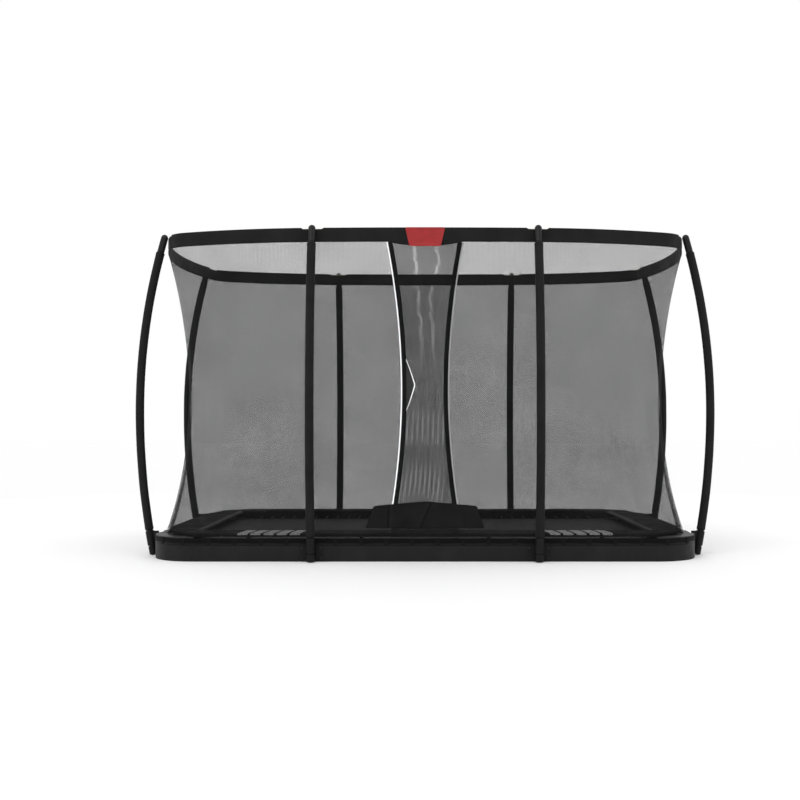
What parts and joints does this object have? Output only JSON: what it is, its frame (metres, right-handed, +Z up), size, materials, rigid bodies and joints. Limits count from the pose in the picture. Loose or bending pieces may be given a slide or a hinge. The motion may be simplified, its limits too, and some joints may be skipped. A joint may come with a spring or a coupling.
{
  "type": "trampoline",
  "caption": "Rectangular ground-level trampoline with a sprung mat, padded edge, arched poles, a waisted safety net and an overlapping entrance.",
  "frame": {"origin": "ground level under the middle of the frame", "axes": "+X along the long side, -Y out of the entrance, +Z up"},
  "size_m": [4.471, 2.871, 2.4712],
  "materials": {
    "frame_steel": "satin black powder coat",
    "panel_steel": "satin black powder coat",
    "corner_plate": "satin moulded",
    "zinc_spring": "zinc plated wire",
    "zinc_ring": "zinc plated wire",
    "mat_weave": "woven polypropylene",
    "webbing": "woven webbing",
    "pad_cover": "coated fabric",
    "sleeve_fabric": "coated fabric",
    "cap_plastic": "moulded",
    "pole_steel": "satin black powder coat",
    "bracket_steel": "satin black powder coat",
    "bolt_zinc": "zinc plated",
    "fibreglass": "pultruded rod",
    "net_mesh": "knitted polyester mesh, open",
    "piping": "reflective piping",
    "hook_plastic": "moulded",
    "tab_fabric": "coated fabric",
    "badge_rubber": "soft moulded",
    "flap_fabric": "coated fabric"
  },
  "bodies": {
    "frame": {"badge": "badge_rubber", "bracket_bolts": "bolt_zinc", "corner_plates": "corner_plate", "edge_pad_back": "pad_cover", "edge_pad_corners": "pad_cover", "edge_pad_front": "pad_cover", "edge_pad_left": "pad_cover", "edge_pad_right": "pad_cover", "entrance_bands": "webbing", "entrance_piping": "piping", "frame_corner_tubes": "frame_steel", "frame_rail_back": "frame_steel", "frame_rail_front": "frame_steel", "frame_rail_left": "frame_steel", "frame_rail_right": "frame_steel", "ground_panel_back": "panel_steel", "ground_panel_corners": "panel_steel", "ground_panel_front": "panel_steel", "ground_panel_left": "panel_steel", "ground_panel_right": "panel_steel", "net_entrance_left": "net_mesh", "net_entrance_right": "net_mesh", "net_hem": "webbing", "net_hem_hooks": "hook_plastic", "net_panel_back": "net_mesh", "net_panel_corner_back_left": "net_mesh", "net_panel_corner_back_right": "net_mesh", "net_panel_corner_front_left": "net_mesh", "net_panel_corner_front_right": "net_mesh", "net_panel_left": "net_mesh", "net_panel_right": "net_mesh", "net_pole_back_left": "pole_steel", "net_pole_back_right": "pole_steel", "net_pole_caps": "cap_plastic", "net_pole_front_left": "pole_steel", "net_pole_front_right": "pole_steel", "net_pole_left_back": "pole_steel", "net_pole_left_front": "pole_steel", "net_pole_right_back": "pole_steel", "net_pole_right_front": "pole_steel", "net_pole_sleeves": "sleeve_fabric", "net_pole_upper_tubes": "pole_steel", "net_top_rods": "fibreglass", "net_top_sleeve": "sleeve_fabric", "pad_straps": "webbing", "pole_brackets": "bracket_steel", "pull_tab": "tab_fabric", "springs_back": "zinc_spring", "springs_front": "zinc_spring", "springs_left": "zinc_spring", "springs_right": "zinc_spring", "threshold_flap_header": "flap_fabric"},
    "mat": {"jumping_mat": "mat_weave", "mat_edge_webbing": "webbing", "mat_rings": "zinc_ring"},
    "flap": {"threshold_flap": "flap_fabric"}
  },
  "joints": [
    {"name": "mat_travel", "type": "slide", "parent": "frame", "child": "mat", "axis": [0, 0, 1], "range_m": [-0.1, 0.02], "stiffness_N_per_m": 5000, "springref_m": 0.0166, "deforming": ["springs_back", "springs_front", "springs_left", "springs_right"]},
    {"name": "flap_lift", "type": "hinge", "parent": "frame", "child": "flap", "pos_m": [0, -1.196, 0.4007], "axis": [-1, 0, 0], "range_deg": [0, 80]}
  ]
}
